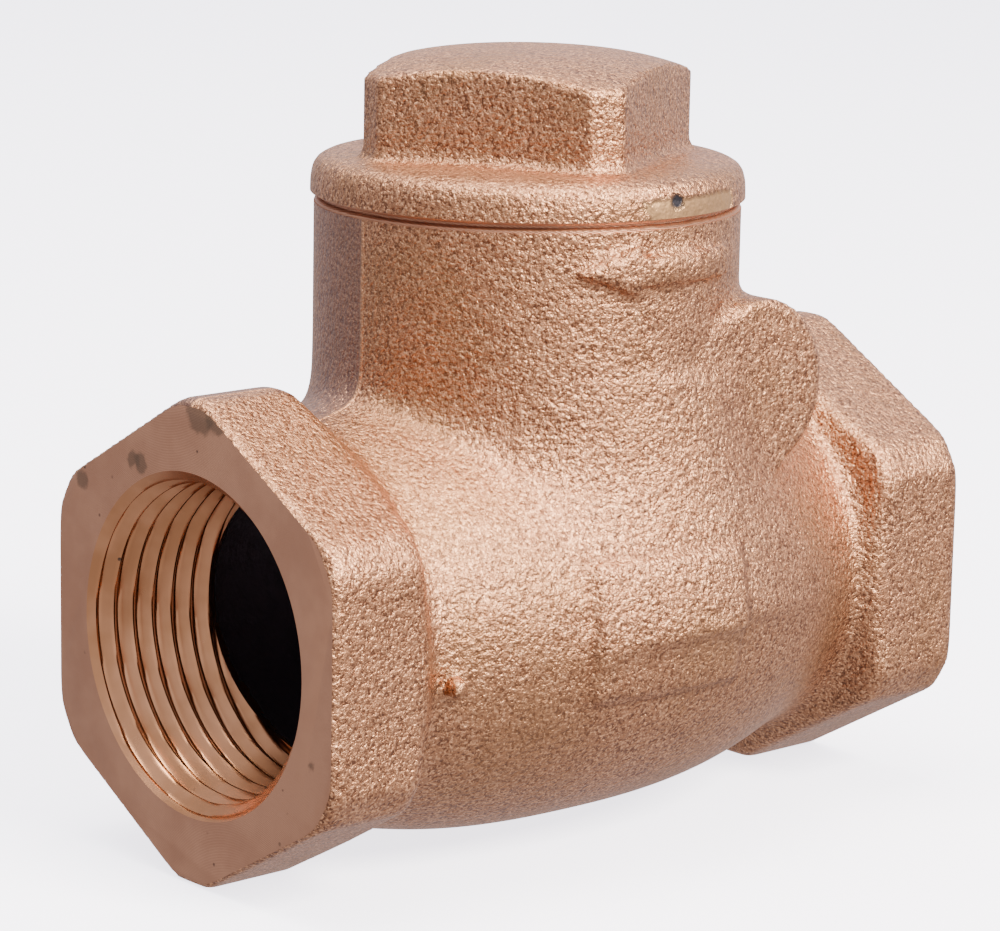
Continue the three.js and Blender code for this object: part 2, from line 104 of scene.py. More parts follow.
# %% A small wrapper for node sockets
class Val:
    """One output socket of a node tree, with arithmetic that adds Math nodes."""

    def __init__(self, tree, socket):
        self.tree = tree
        self.socket = socket

    def math(self, operation, *others):
        made = self.tree.nodes.new("ShaderNodeMath")
        made.operation = operation
        for slot, value in zip(made.inputs, (self, *others)):
            plug(self.tree, slot, value)
        return Val(self.tree, made.outputs[0])

    def __add__(self, other):
        return self.math("ADD", other)

    def __sub__(self, other):
        return self.math("SUBTRACT", other)

    def __mul__(self, other):
        return self.math("MULTIPLY", other)

    def __truediv__(self, other):
        return self.math("DIVIDE", other)

    def __pow__(self, other):
        return self.math("POWER", other)

    def __radd__(self, other):
        return self + other

    def __rmul__(self, other):
        return self * other

    def __rtruediv__(self, other):
        return self ** -1 * other

    def __rsub__(self, other):
        return self * -1 + other

    def __neg__(self):
        return self * -1

    def __abs__(self):
        return self.math("ABSOLUTE")

    def sqrt(self):
        return self.math("SQRT")

    def low(self, other, blend=0):
        """The lower of two, rounded over a distance if blend is set."""
        return self.math("SMOOTH_MIN", other, blend) if blend else self.math("MINIMUM", other)

    def high(self, other, blend=0):
        return self.math("SMOOTH_MAX", other, blend) if blend else self.math("MAXIMUM", other)

    def step(self, low, high):
        """0 below low, 1 above high, smooth between; low may be the greater one."""
        made = self.tree.nodes.new("ShaderNodeMapRange")
        made.interpolation_type = "SMOOTHSTEP"
        lowest, highest = min(low, high), max(low, high)
        plug(self.tree, made.inputs["Value"], self)
        made.inputs["From Min"].default_value = lowest
        made.inputs["From Max"].default_value = highest
        made.inputs["To Min"].default_value = 0.0 if low < high else 1.0
        made.inputs["To Max"].default_value = 1.0 if low < high else 0.0
        return Val(self.tree, made.outputs["Result"])


def plug(tree, slot, value):
    """Links a Val to an input socket, or sets the socket's own value."""
    if isinstance(value, Val):
        tree.links.new(value.socket, slot)
    elif value is not None:
        slot.default_value = value


def node(tree, kind, inputs=None, output=0, **settings):
    """Adds a node; inputs are set by name or index. Returns the chosen output as a Val."""
    made = tree.nodes.new(kind)
    for key, value in settings.items():
        setattr(made, key, value)
    for key, value in (inputs or {}).items():
        plug(tree, made.inputs[key], value)
    return Val(tree, made.outputs[output])


def split(vector):
    """The three parts of a vector."""
    made = vector.tree.nodes.new("ShaderNodeSeparateXYZ")
    vector.tree.links.new(vector.socket, made.inputs[0])
    return [Val(vector.tree, out) for out in made.outputs]


# %% [markdown]
# ## Growing a casting from a distance field
#
# A sand casting has no sharp edge anywhere: the pattern is filleted by hand and the metal shrinks.
# A distance field gives just that. Each part of the pattern is a formula that is negative inside,
# and a smooth minimum joins two of them with a fillet whose size is a number. Geometry Nodes
# samples the formula on a grid (Volume Cube) and wraps the surface where it crosses zero (Volume to
# Mesh).

# %% From a field to a mesh
def grow(name, field, low, high, voxel):
    """A mesh object of where field(x, y, z) is negative, between two corners; all in mm."""
    tree = bpy.data.node_groups.new(name, "GeometryNodeTree")
    tree.interface.new_socket("Voxel", in_out="INPUT", socket_type="NodeSocketFloat")
    tree.interface.new_socket("Geometry", in_out="OUTPUT", socket_type="NodeSocketGeometry")
    entry = tree.nodes.new("NodeGroupInput")
    voxel_in = Val(tree, entry.outputs["Voxel"])
    position = node(tree, "GeometryNodeInputPosition")
    x, y, z = (part / MM for part in split(position))
    density = 1 - field(x, y, z - FLOW_HEIGHT)
    corner = [Vector(c) * MM + Vector((0, 0, FLOW_HEIGHT * MM)) for c in (low, high)]
    spans = [high[i] - low[i] for i in range(3)]
    counts = {f"Resolution {axis}": 1 / voxel_in * span for axis, span in zip("XYZ", spans)}
    volume = node(
        tree,
        "GeometryNodeVolumeCube",
        {"Density": density, "Background": 0.0, "Min": corner[0], "Max": corner[1], **counts},
    )
    skin = node(tree, "GeometryNodeVolumeToMesh", {"Volume": volume, "Threshold": 1.0})
    smooth = node(tree, "GeometryNodeSetShadeSmooth", {"Geometry": skin})
    real = node(tree, "GeometryNodeRealizeInstances", {"Geometry": smooth})
    done = tree.nodes.new("NodeGroupOutput")
    tree.links.new(real.socket, done.inputs["Geometry"])
    return run_nodes(name, tree, {"Voxel": voxel})


def run_nodes(name, tree, values):
    """Runs a geometry tree on an empty mesh and keeps the result as a plain mesh object."""
    host = bpy.data.objects.new(name + "_host", bpy.data.meshes.new(name + "_host"))
    bpy.context.scene.collection.objects.link(host)
    modifier = host.modifiers.new("nodes", "NODES")
    modifier.node_group = tree
    for item in tree.interface.items_tree:
        if item.in_out == "INPUT" and item.name in values:
            modifier[item.identifier] = values[item.name]
    bpy.context.view_layer.update()
    shown = host.evaluated_get(bpy.context.evaluated_depsgraph_get())
    mesh = bpy.data.meshes.new_from_object(shown)
    bpy.data.objects.remove(host)
    mesh.name = name
    made = bpy.data.objects.new(name, mesh)
    bpy.context.scene.collection.objects.link(made)
    return made


def hexagon(y, z, half, edge_soft=0.5):
    """Distance to a hexagonal bar along X with a corner at the top, softened on its long edges."""
    slope = abs(y) * 0.5 + abs(z) * math.cos(math.radians(30))
    return abs(y).high(slope, edge_soft) - half


def radius(a, b):
    return (a * a + b * b).sqrt()


def bulge(x, y, z, half_length, half_width, half_height, scale):
    """Distance to a barrel along X that is fuller at its ends than an ellipsoid."""
    across = radius(y / half_width, z / half_height)
    along = abs(x - BARREL_MIDDLE) / half_length
    return ((along ** FULLNESS + across ** FULLNESS) ** (1 / FULLNESS) - 1) * scale


# %% The casting's own sizes
FULLNESS = 2.7
BARREL_MIDDLE = -1.5
BARREL_HALF_LENGTH, BARREL_HALF_HEIGHT, BARREL_SCALE = 27.8, 18.3, 18
OUTLET_HALF_WIDTH, INLET_EXTRA_WIDTH = 19.28, 1.1
WAIST_RADIUS, WAIST_END = 15.4, 30
HEX_CHAMFER_RADIUS, HEX_BACK = 18.8, 24.0
SKIRT_X, SKIRT_TOP, SKIRT_RADIUS, SKIRT_SLOPE = 2, 19, 17.1, 0.2
ARROW_TIP, ARROW_LEVEL, ARROW_RADIUS = -8.6, 28.2, 17.75
ARROW_HEAD_LENGTH, ARROW_HEAD_SLOPE = 5.2, 0.4
SHAFT_FROM, SHAFT_TO, SHAFT_HALF = -3.6, 6.4, 1.1
PAD_X, PAD_Z, PAD_HALF_X, PAD_HALF_Z, PAD_RISE = -2.2, 0.9, 7.2, 5.4, 0.44
# Stray beads of metal: centre and radius.
BEADS = ((-11.4, -12.4, 15.0, 0.75), (-21.4, -17.0, -1.6, 0.85), (9.0, -11.6, 24.9, 0.9))


# %% The body's field
def body_field(x, y, z):
    """The body's casting, before machining; negative inside."""
    # Barrel: wider than tall, with full ends, and slimmer towards the outlet.
    half_width = OUTLET_HALF_WIDTH + INLET_EXTRA_WIDTH * x.step(-15, 3)
    barrel = bulge(
        x, y, z, BARREL_HALF_LENGTH, half_width, BARREL_HALF_HEIGHT, BARREL_SCALE
    )
    # Waist tube that joins the two hexagons through the barrel.
    round_x = radius(y, z)
    far = abs(x)
    waist = (round_x - WAIST_RADIUS).high(far - WAIST_END)
    # Hexagonal ends: corners trimmed, chamfered at the face, rounded behind.
    bar = hexagon(y, z, HEX_HALF).high(round_x - HEX_CORNER, 0.3)
    chamfer = (round_x - HEX_CHAMFER_RADIUS) * 0.7 + (far - HALF_LENGTH) * 0.7
    back = HEX_BACK - far + (round_x - HEX_HALF) * 0.35
    foot = -FLOW_HEIGHT - z
    front = far - HALF_LENGTH - 0.3
    ends = bar.high(foot, 0.2).high(chamfer, 0.5).high(front, 1.3).high(back, 1.6)
    # Neck with its flared skirt, and the boss that the hinge pin runs through.
    round_z = radius(x, y)
    neck = (round_z - NECK_RADIUS).high(z - 33).high(-z)
    skirt = radius(x - SKIRT_X, y) - SKIRT_RADIUS - (SKIRT_TOP - z) * SKIRT_SLOPE
    neck = neck.low(skirt.high(z - SKIRT_TOP, 0.8).high(1 - z), 2.5)
    boss = radius(x - HINGE_X, z - HINGE_Z) - BOSS_RADIUS
    boss = boss.high(abs(y) - BOSS_HALF, 0.25)
    # The last number of each join is the size of its fillet.
    shape = barrel.low(neck, 3.6)
    shape = shape.low(waist, 4.0)
    shape = shape.low(boss, 1.4)
    shape = shape.low(ends, 2.2)
    # Cast marks on the near side: the flow arrow, a blank pad, and the beads.
    from_tip = x - ARROW_TIP
    high = abs(z - ARROW_LEVEL)
    head = (high - from_tip * ARROW_HEAD_SLOPE).high(from_tip - ARROW_HEAD_LENGTH)
    shaft = (high - SHAFT_HALF).high(x - SHAFT_TO).high(SHAFT_FROM - x)
    arrow = head.low(shaft, 0.4).high(round_z - ARROW_RADIUS, 0.3).high(y)
    pad = (abs(x - PAD_X) - PAD_HALF_X).high(abs(z - PAD_Z) - PAD_HALF_Z, 0.8)
    pad = pad.high(shape - PAD_RISE, 0.15).high(y)
    shape = shape.low(arrow, 0.25).low(pad, 0.15)
    for bead_x, bead_y, bead_z, size in BEADS:
        bead = radius(radius(x - bead_x, y - bead_y), z - bead_z) - size
        shape = shape.low(bead, 0.5)
    return shape


# %% [markdown]
# ## Cutting tools
#
# The lathe and the tap come next. A turned tool is a profile swept round an axis. A thread tool is
# a rod whose radius rises and falls along a helix: Geometry Nodes bends a flat grid into a tube and
# sets each point's radius from its place along the helix, so that one group makes the pipe threads
# in both ports, the thread in the neck and the thread on the cap.

# %% Turned shapes and plain boxes
AXES = {
    "X": Matrix(((0, 0, 1), (1, 0, 0), (0, 1, 0))),
    "Y": Matrix(((0, 1, 0), (0, 0, 1), (1, 0, 0))),
    "Z": Matrix.Identity(3),
}
ROUND = 96


def lift(points):
    """Millimetres about the flow axis to metres in the row frame."""
    return (np.asarray(points, float) + (0, 0, FLOW_HEIGHT)) * MM


def solid(name, points, faces):
    """A mesh object from points in mm about the flow axis, with its faces turned outwards."""
    mesh = bpy.data.meshes.new(name)
    mesh.from_pydata([tuple(p) for p in lift(points)], [], faces)
    form = bmesh.new()
    form.from_mesh(mesh)
    bmesh.ops.remove_doubles(form, verts=form.verts, dist=1e-7)
    bmesh.ops.recalc_face_normals(form, faces=form.faces)
    form.to_mesh(mesh)
    form.free()
    made = bpy.data.objects.new(name, mesh)
    bpy.context.scene.collection.objects.link(made)
    return made


def turned(name, profile, axis="Z", segments=ROUND, place=None):
    """A turned solid from (radius, height) pairs; a profile off the axis closes on itself."""
    profile = list(profile)
    ring = profile[0][0] > 0
    rows = len(profile)
    angles = np.linspace(0, 2 * np.pi, segments, endpoint=False)
    points = [(r * math.cos(a), r * math.sin(a), h) for r, h in profile for a in angles]
    points = np.array(points) @ np.array(AXES[axis]).T
    if place is not None:
        points = place(points)
    faces = []
    for row in range(rows if ring else rows - 1):
        following = (row + 1) % rows
        for i in range(segments):
            j = (i + 1) % segments
            faces.append((
                row * segments + i,
                row * segments + j,
                following * segments + j,
                following * segments + i,
            ))
    return solid(name, points, faces)


def rod(size, low, high):
    """The profile of a plain cylinder."""
    return [(0, low), (size, low), (size, high), (0, high)]


def box_solid(name, low, high):
    spans = zip(low, high)
    corners = list(itertools.product(*spans))
    faces = [(0, 1, 3, 2), (4, 6, 7, 5), (0, 4, 5, 1), (2, 3, 7, 6), (0, 2, 6, 4), (1, 5, 7, 3)]
    return solid(name, corners, faces)


def at_hinge(points):
    """From the hanger's own frame, with the pin at its origin, to the closed position."""
    turn = np.array(Matrix.Rotation(SEAT_TILT, 3, "Y"))
    return points @ turn.T + (HINGE_X, 0, HINGE_Z)


def at_disc(points):
    """From a frame on the disc's axis to the closed position."""
    return at_hinge(points + (0, 0, -DISC_DROP))


def to_boss(points):
    """From the hinge pin's own axis to its place in the boss."""
    return points + (HINGE_X, 0, HINGE_Z)


# %% The thread tool
def thread_group():
    """Geometry Nodes group for a rod along +X with a helical V thread, closed at both ends."""
    tree = bpy.data.node_groups.new("thread_rod", "GeometryNodeTree")
    for name in ("Start", "Length", "Crest", "Height", "Pitch", "Taper", "Mouth", "Runout"):
        tree.interface.new_socket(name, in_out="INPUT", socket_type="NodeSocketFloat")
    for name in ("Along", "Around"):
        tree.interface.new_socket(name, in_out="INPUT", socket_type="NodeSocketInt")
    tree.interface.new_socket("Geometry", in_out="OUTPUT", socket_type="NodeSocketGeometry")
    entry = tree.nodes.new("NodeGroupInput")
    take = {out.name: Val(tree, out) for out in entry.outputs if out.name}
    grid = node(tree, "GeometryNodeMeshGrid", {
        "Size X": 1.0, "Size Y": 1.0, "Vertices X": take["Along"], "Vertices Y": take["Around"],
    })
    u, v, _ = split(node(tree, "GeometryNodeInputPosition"))
    u = u + 0.5
    turn = v + 0.5
    depth = take["Start"] + u * take["Length"]
    # A V with a small flat on each crest and root. It is one pitch long and moves on by a pitch
    # each turn.
    phase = (depth / take["Pitch"] - turn).math("FRACT")
    groove = 1 - (abs(phase * 2 - 1) - 0.1).math("DIVIDE", 0.8).low(1).high(0)
    fade = ((take["Start"] + take["Length"] - depth) / take["Runout"]).low(1).high(0)
    wall = take["Crest"] - depth * take["Taper"] + groove * take["Height"] * fade
    wall = wall.high(take["Mouth"] - depth)
    # The first and last rows shrink to a point, which closes the ends.
    size = wall * (u * (1 - u)).math("GREATER_THAN", 1e-6)
    angle = turn * (2 * math.pi)
    place = node(tree, "ShaderNodeCombineXYZ", {
        0: depth * MM,
        1: size * angle.math("COSINE") * MM,
        2: size * angle.math("SINE") * MM,
    })
    bent = node(tree, "GeometryNodeSetPosition", {"Geometry": grid, "Position": place})
    joined = node(tree, "GeometryNodeMergeByDistance", {"Geometry": bent, "Distance": 1e-7})
    real = node(tree, "GeometryNodeRealizeInstances", {"Geometry": joined})
    done = tree.nodes.new("NodeGroupOutput")
    tree.links.new(real.socket, done.inputs["Geometry"])
    return tree


THREAD = thread_group()


def threaded_rod(name, turn, shift, **values):
    """One thread rod, turned by a 3x3 matrix and shifted in mm about the flow axis."""
    made = run_nodes(name, THREAD, values)
    move = Matrix.Translation((Vector(shift) + Vector((0, 0, FLOW_HEIGHT))) * MM) @ turn.to_4x4()
    made.data.transform(move)
    form = bmesh.new()
    form.from_mesh(made.data)
    bmesh.ops.recalc_face_normals(form, faces=form.faces)
    form.to_mesh(made.data)
    form.free()
    return made


# %% Joining and cutting
def combine(target, tool, operation):
    """Joins or cuts target with tool, which is used up."""
    modifier = target.modifiers.new("combine", "BOOLEAN")
    modifier.object = tool
    modifier.operation = operation
    modifier.solver = "MANIFOLD"
    shown = target.evaluated_get(bpy.context.evaluated_depsgraph_get())
    mesh = bpy.data.meshes.new_from_object(shown)
    target.modifiers.clear()
    old = target.data
    target.data = mesh
    bpy.data.meshes.remove(old)
    bpy.data.objects.remove(tool)
    if not mesh.polygons:
        raise RuntimeError(f"{operation} left {target.name} empty")
    return target


def cut(target, *tools):
    for tool in tools:
        combine(target, tool, "DIFFERENCE")
    return target


def join(target, *tools):
    for tool in tools:
        combine(target, tool, "UNION")
    return target


# %% [markdown]
# ## The valve body
#
# Cast in one piece with its seat. The core that leaves the chamber is a second field, grown coarser
# since it shows only through the ports. Then the end faces, the neck's rim, both pipe threads, the
# neck's thread, the seat and the pin's bore are machined.

# %% Grow the casting and its core
casting = grow("body_casting", body_field, (-34.6, -22.6, -20.0), (34.6, 22.6, 33.4), 0.47)


SEAT_X = 13.03
POCKET_RADIUS, POCKET_HALF = 4.4, 7.4


def core_field(x, y, z):
    """The sand core: the chamber, the neck's bore and the pocket round the hinge."""
    chamber = bulge(x, y, z, 24.5, 17.9, 15.0, 15)
    tilt = (x - SEAT_X) * math.cos(SEAT_TILT) - z * math.sin(SEAT_TILT)
    chamber = chamber.high(tilt - 1.2, 0.8)
    bore = (radius(x, y) - NECK_BORE).high(6 - z, 0.5).high(z - 33)
    pocket = (radius(x - HINGE_X, z - HINGE_Z) - POCKET_RADIUS).high(abs(y) - POCKET_HALF, 0.4)
    return chamber.low(bore, 1.5).low(pocket, 0.8)


core = grow("core", core_field, (-27, -19, -16), (18, 19, 34), 0.9)
print("casting:", len(casting.data.polygons), "faces; core:", len(core.data.polygons), "faces")

# %% Machine the body
FAR = 60
cut(
    casting,
    core,
    box_solid("face_cut", (HALF_LENGTH, -FAR, -FAR), (FAR, FAR, FAR)),
    box_solid("face_cut", (-FAR, -FAR, -FAR), (-HALF_LENGTH, FAR, FAR)),
    box_solid("rim_cut", (-FAR, -FAR, NECK_TOP), (FAR, FAR, FAR)),
    turned("outlet_bore", rod(11.7, -31, -10), "X"),
)
PORT = dict(
    Start=-1.0, Length=14.2, Crest=12.35, Height=0.8, Pitch=PITCH, Taper=1 / 32,
    Mouth=13.45, Runout=1.2, Along=104, Around=97,
)
FROM_LEFT = Matrix.Identity(3)
FROM_RIGHT = Matrix.Rotation(math.pi, 3, "Z")
cut(
    casting,
    threaded_rod("outlet_tap", FROM_LEFT, (-HALF_LENGTH, 0, 0), **PORT),
    threaded_rod("inlet_tap", FROM_RIGHT, (HALF_LENGTH, 0, 0), **PORT),
)
DOWN = Matrix.Rotation(math.pi / 2, 3, "Y")
NECK_TAP = dict(
    Start=-1.0, Length=9.6, Crest=NECK_BORE, Height=0.7, Pitch=PITCH, Taper=0.0,
    Mouth=15.0, Runout=1.0, Along=70, Around=73,
)
cut(
    casting,
    threaded_rod("neck_tap", DOWN, (0, 0, NECK_TOP), **NECK_TAP),
    turned("rim_turning", [
        (16.93, RIM_FROM), (19, RIM_FROM), (19, NECK_TOP + 1), (16.55, NECK_TOP + 1),
        (16.55, NECK_TOP - 0.02), (16.75, NECK_TOP - 0.06), (16.93, NECK_TOP - 0.22),
    ]),
)
join(casting, turned("seat_ring", rod(11.0, 7.1, 9.3), "X", place=at_disc))
cut(
    casting,
    turned("throat", rod(9.5, 6.1, 11.3), "X", place=at_disc),
    turned("throat_end", rod(9.5, 13.5, 21.2), "X"),
    turned("pin_bore", rod(1.75, -13.6, 12), "Y", 32, place=to_boss),
    turned("plug_bore", rod(3.75, 10.7, 18), "Y", 48, place=to_boss),
    turned("spot_face", rod(5.5, BOSS_HALF, 21), "Y", 64, place=to_boss),
)
print("machined body:", len(casting.data.polygons), "faces")

# %% [markdown]
# ## The cap
#
# A second casting: a round flange, a square head that is domed so that each of its four faces ends
# in an arc, and a fillet at the head's root. The flange's underside is faced and the skirt is
# threaded.

# %% Grow and machine the cap
def cap_field(x, y, z):
    """The cap's casting above the joint line."""
    cos, sin = math.cos(HEAD_TURN), math.sin(HEAD_TURN)
    a = x * cos + y * sin
    b = y * cos - x * sin
    side = abs(a).high(abs(b), 0.2) - HEAD_HALF
    corner = (abs(a) + abs(b) - 2 * HEAD_HALF + HEAD_CUT) * math.sqrt(0.5)
    round_z = radius(x, y)
    top = z - HEAD_TOP + 2.3 * (round_z / 14.6) ** 3
    head = side.high(corner, 0.2).high(top, 0.35)
    flange = (round_z - FLANGE_RADIUS).high(z - 35.3 + (round_z - 12) * 0.06, 3.0)
    return flange.low(head, 1.5).high(30.5 - z)


cap = grow("cap_casting", cap_field, (-18.2, -18.2, 30.0), (18.2, 18.2, 44.4), 0.36)
SKIRT = dict(
    Start=-2.0, Length=10.45, Crest=13.0, Height=0.7, Pitch=PITCH, Taper=0.0,
    Mouth=-9.0, Runout=1.0, Along=70, Around=73,
)
cut(cap, box_solid("cap_face", (-FAR, -FAR, 0), (FAR, FAR, NECK_TOP)))
cut(cap, turned("flange_turning", [
    (16.5, 31.0), (19, 31.0), (19, FLANGE_EDGE + 0.25), (17.08, FLANGE_EDGE + 0.25),
    (17.02, FLANGE_EDGE + 0.12), (16.85, FLANGE_EDGE), (16.5, FLANGE_EDGE),
]))
join(cap, threaded_rod("cap_thread", DOWN, (0, 0, NECK_TOP), **SKIRT))
cut(cap, turned("cap_hollow", [(0, 20), (11, 20), (11, 32), (9, 34), (0, 34)]))
print("cap:", len(cap.data.polygons), "faces")


# %% [markdown]
# ## The moving pieces
#
# The disc assembly shows through the ports, so its turned pieces are drawn again with enough
# segments to look round, with the small chamfers that a lathe leaves.

# %% Pin, plug, disc and nuts
def nut(name, across, bore, low, high):
    """A hexagon nut on the disc's axis, with its corners turned off on both faces."""
    corner = across / math.sqrt(3)
    points = [
        (end, corner * math.sin(math.radians(60 * i)), corner * math.cos(math.radians(60 * i)))
        for end in (low, high)
        for i in range(6)
    ]
    sides = [(i, (i + 1) % 6, 6 + (i + 1) % 6, 6 + i) for i in range(6)]
    made = solid(name, at_disc(np.array(points)), [*sides, tuple(range(6)), tuple(range(6, 12))])
    edge = across / 2 + 0.1
    barrel = [
        (0, low), (edge, low), (corner, low + 0.35),
        (corner, high - 0.35), (edge, high), (0, high),
    ]
    combine(made, turned("nut_turning", barrel, "X", 48, place=at_disc), "INTERSECT")
    return cut(made, turned("nut_bore", rod(bore, low - 1, high + 1), "X", 32, place=at_disc))


pin = turned("hinge_pin_turned", [
    (0, -13.6), (1.3, -13.6), (1.6, -13.3), (1.6, 10.7), (1.3, 11.0), (0, 11.0),
], "Y", 40, place=to_boss)
plug_piece = turned("plug_turned", [
    (0, 11), (3.1, 11), (3.6, 11.5), (3.6, BOSS_HALF), (5.0, BOSS_HALF), (5.2, 16.6), (5.2, 18.0),
    (4.9, 18.45), (4.5, 18.6), (0, 18.6),
], "Y", 64, place=to_boss)
slot_cut = box_solid("slot_cut", (-8, 17.4, -0.65), (8, 20, 0.65))
slot_cut.data.transform(
    Matrix.Translation(lift((HINGE_X, 0, HINGE_Z)))
    @ Matrix.Rotation(0.6, 4, "Y")
    @ Matrix.Translation(-Vector(lift((0, 0, 0))))
)
cut(plug_piece, slot_cut)
holder = turned("holder_turned", [
    (0, -6.0), (1.8, -6.0), (2.1, -5.7), (2.1, 2.1), (4.0, 2.1), (4.2, 2.6), (4.6, 3.4),
    (11.3, 3.4), (11.65, 3.55), (11.8, 3.9), (11.8, 6.0), (11.65, 6.3), (11.05, 6.3),
    (11.05, 5.2), (1.8, 5.2), (1.8, 10.5), (1.5, 10.8), (0, 10.8),
], "X", 96, place=at_disc)
ptfe_disc = turned("seat_disc_moulded", [
    (1.95, 5.2), (10.9, 5.2), (10.9, 6.8), (10.7, 7.0), (1.95, 7.0),
], "X", 96, place=at_disc)
seat_washer = turned("seat_washer_stamped", [
    (1.95, 7.0), (5.0, 7.0), (5.0, 7.6), (4.8, 7.8), (2.1, 7.8), (1.95, 7.65),
], "X", 64, place=at_disc)
hanger_washer = turned("hanger_washer_stamped", [
    (2.25, -2.3), (4.0, -2.3), (4.2, -2.1), (4.2, -1.5), (2.25, -1.5),
], "X", 64, place=at_disc)
seat_nut = nut("seat_nut_milled", 6.4, 1.95, 7.8, 10.2)
hanger_nut = nut("hanger_nut_milled", 7.2, 2.25, -5.1, -2.3)


# %% [markdown]
# ## Materials
#
# Blasted bronze is metal with a grain: fine pits that scatter the light, over a slow waviness from
# the sand. The machined faces are the same alloy, brighter, with rings left by the tool.

# %% Material helpers
def new_material(name):
    made = bpy.data.materials.new(name)
    made.use_nodes = True
    shader = made.node_tree.nodes["Principled BSDF"]
    return made, made.node_tree, shader


def noise(tree, where, scale, detail=3.0, roughness=0.6):
    return node(tree, "ShaderNodeTexNoise", {
        "Vector": where, "Scale": scale, "Detail": detail, "Roughness": roughness,
    })


def cells(tree, where, scale, output=0, **settings):
    return node(tree, "ShaderNodeTexVoronoi", {"Vector": where, "Scale": scale}, output, **settings)


def mix(tree, share, first, second):
    """Blend of two colours, given as tuples or Vals."""
    made = tree.nodes.new("ShaderNodeMix")
    made.data_type = "RGBA"
    plug(tree, made.inputs[0], share)
    for slot, value in ((made.inputs[6], first), (made.inputs[7], second)):
        plug(tree, slot, value if isinstance(value, Val) else (*value, 1.0))
    return Val(tree, made.outputs[2])


def bump(tree, height, distance, strength=1.0, under=None):
    made = tree.nodes.new("ShaderNodeBump")
    made.inputs["Strength"].default_value = strength
    made.inputs["Distance"].default_value = distance
    plug(tree, made.inputs["Height"], height)
    if under is not None:
        plug(tree, made.inputs["Normal"], under)
    return Val(tree, made.outputs[0])


def object_position(tree):
    return node(tree, "ShaderNodeTexCoord", output=3)


def away_from(tree, where, point):
    """Distance in mm from a point given in mm about the flow axis."""
    made = tree.nodes.new("ShaderNodeVectorMath")
    made.operation = "DISTANCE"
    plug(tree, made.inputs[0], where)
    made.inputs[1].default_value = lift(point)
    return Val(tree, made.outputs["Value"]) / MM


# %% Blasted bronze
CAST_LIGHT = (0.74, 0.385, 0.20)
CAST_MID = (0.43, 0.20, 0.10)
CAST_DARK = (0.18, 0.074, 0.037)
CAST_OLIVE = (0.34, 0.17, 0.07)
# Painted shade, laid on the far half of the neck.
NECK_PAINTED_SHADE = (0.19, 0.115, 0.10)


def blasted_bronze(name, seed, marks=None):
    """Cast and blasted bronze; marks(tree, where, tone, height) adds what one piece alone has."""
    made, tree, shader = new_material(name)
    where = object_position(tree)
    grain = noise(tree, where, 3000 + seed, 2.0, 0.6)
    pebbles = cells(tree, where, 1900 + seed, feature="SMOOTH_F1")
    lumps = noise(tree, where, 620 + seed, 3.0)
    patches = noise(tree, where, 90 + seed, 4.0)
    speck = noise(tree, where, 4300 + seed, 1.0)
    tone = mix(tree, grain.step(0.36, 0.56), CAST_DARK, CAST_MID)
    tone = mix(tree, speck.step(0.5, 0.66), tone, CAST_LIGHT)
    tone = mix(tree, patches.step(0.45, 0.7) * 0.35, tone, CAST_OLIVE)
    height = grain + 0.5 * pebbles
    if marks is not None:
        tone, height = marks(tree, where, tone, height)
    plug(tree, shader.inputs["Base Color"], tone)
    shader.inputs["Metallic"].default_value = 1.0
    shader.inputs["Coat Weight"].default_value = 0.12
    shader.inputs["Coat Roughness"].default_value = 0.5
    plug(tree, shader.inputs["Roughness"], 0.34 + 0.14 * lumps + 0.08 * grain)
    coarse = bump(tree, lumps, 0.0002, 0.9)
    plug(tree, shader.inputs["Normal"], bump(tree, height, 0.0002, 1.0, coarse))
    return made


def body_marks(tree, where, tone, height):
    """The parting line, painted shade on the far half of the neck beside it, and a painted shadow
    round the pad's edge.
    """
    x, y, z = (part / MM for part in split(where))
    z = z - FLOW_HEIGHT
    # Painted shade: the far half of the neck on the outlet side is darkened; partly it stands for
    # the casting's own tone step at the parting line.
    neck_shade_mask = y.step(0.0, 0.2) * y.step(14, 4) * x.step(-8, -13) * z.step(10, 14)
    tone = mix(tree, neck_shade_mask * 0.55, tone, NECK_PAINTED_SHADE)
    # Painted shadow: a dark band just outside the raised pad on the near side, where its edge casts
    # shade.
    beside = (abs(x - PAD_X) - PAD_HALF_X).high(abs(z - PAD_Z) - PAD_HALF_Z, 0.8)
    foot = beside.step(0.1, 0.35) * beside.step(0.85, 0.45) * y.step(-12, -14)
    tone = mix(tree, foot * 0.4, tone, CAST_DARK)
    line = abs(y).step(0.3, 0.08)
    tone = mix(tree, line * 0.35, tone, CAST_LIGHT)
    return tone, height + line * 0.6


def cap_marks(tree, where, tone, height):
    """Where the flange was rubbed bright, with one pit in it."""
    rub = away_from(tree, where, (2.2, -17.1, 32.6))
    ragged = noise(tree, where, 1300.0, 3.0)
    level = split(where)[2] / MM - FLOW_HEIGHT
    worn = (rub + 4 * ragged).step(8.0, 6.8) * (level + 0.6 * ragged).step(34.1, 33.6)
    tone = mix(tree, worn * 0.8, tone, (0.58, 0.34, 0.15))
    pit = (away_from(tree, where, (-0.05, -17.2, 33.35)) + ragged).step(1.25, 0.85)
    tone = mix(tree, pit, tone, (0.05, 0.045, 0.05))
    return tone, height * (1 - worn) - pit * 2


# %% Machined bronze, brass, steel and PTFE
# Stains on the outlet's face: centre in mm about the flow axis, and radius.
STAIN_TONE = (0.17, 0.105, 0.065)
STAINS = (
    (-33.4, 6.27, 13.2, 0.9), (-33.4, 7.3, 13.3, 0.8), (-33.4, 13.98, 10.61, 0.9),
    (-33.4, -1.12, 18.4, 1.9), (-33.4, -3.0, 18.0, 1.3), (-33.4, -14.6, -6.0, 0.4),
)


